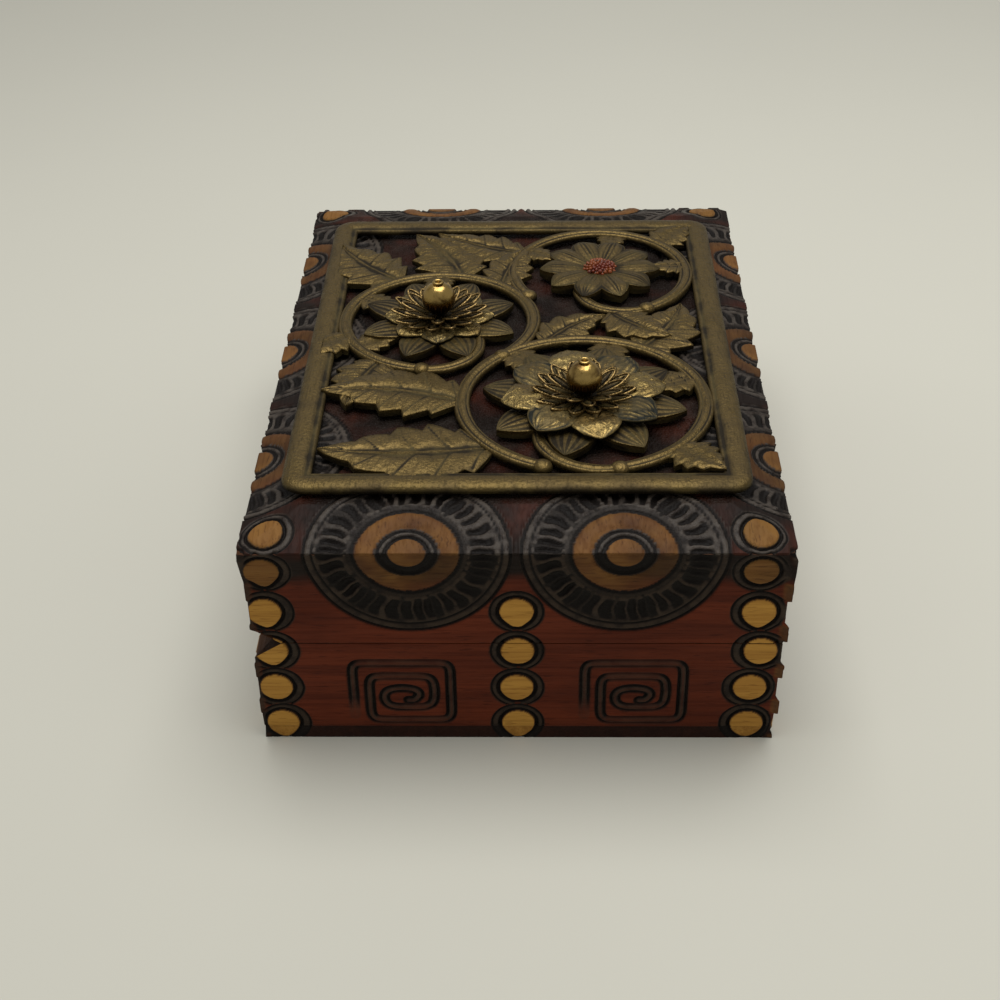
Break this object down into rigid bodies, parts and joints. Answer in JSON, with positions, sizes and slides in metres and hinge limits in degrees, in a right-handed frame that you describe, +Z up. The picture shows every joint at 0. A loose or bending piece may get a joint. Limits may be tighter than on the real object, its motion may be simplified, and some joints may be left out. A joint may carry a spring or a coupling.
{
  "type": "keepsake box",
  "caption": "Carved and burned wooden keepsake box with a hinged lid that carries a pierced brass plaque with raised flowers.",
  "frame": {"origin": "middle of the underside of the bottom board", "axes": "+X across the box from the hinge side to the side that opens, +Y along its length away from the short side in the picture, +Z up"},
  "size_m": [0.112, 0.156, 0.067],
  "materials": {
    "carved_wood": "red-brown stain over carved grooves burned dark, light natural discs, satin varnish",
    "dark_wood": "dark stain, satin",
    "antique_brass": "antiqued cast brass, olive brown in the recesses",
    "patinated_brass": "brass with dark green-black patina rubbed back to gold",
    "polished_brass": "polished, aged",
    "hinge_brass": "plain, slightly tarnished",
    "enamel": "orange-red enamel, worn"
  },
  "bodies": {
    "base": {"base_bottom_board": "dark_wood", "base_near_end": "carved_wood", "base_far_end": "carved_wood", "base_front_wall": "carved_wood", "base_hinge_wall": "carved_wood", "hinge_leaf_base_near": "hinge_brass", "hinge_leaf_base_far": "hinge_brass", "hinge_pin_near": "hinge_brass", "hinge_pin_far": "hinge_brass", "base_hinge_screws": "hinge_brass"},
    "lid": {"lid_near_end": "carved_wood", "lid_far_end": "carved_wood", "lid_front_wall": "carved_wood", "lid_hinge_wall": "carved_wood", "lid_top_board": "carved_wood", "hinge_leaf_lid_near": "hinge_brass", "hinge_leaf_lid_far": "hinge_brass", "lid_hinge_screws": "hinge_brass", "brass_plaque": "antique_brass", "plaque_pins": "hinge_brass", "large_flower_petals": "patinated_brass", "large_flower_lower_daisy": "antique_brass", "large_flower_upper_daisy": "antique_brass", "large_flower_bead": "polished_brass", "large_flower_rivet": "polished_brass", "small_flower_petals": "patinated_brass", "small_flower_lower_daisy": "antique_brass", "small_flower_upper_daisy": "antique_brass", "small_flower_bead": "polished_brass", "small_flower_rivet": "polished_brass", "enamel_seed_centre": "enamel"}
  },
  "joints": [
    {"name": "lid_hinge", "type": "hinge", "parent": "base", "child": "lid", "pos_m": [-0.0521, 0, 0.0267], "axis": [0, -1, 0], "range_deg": [0, 95]}
  ]
}
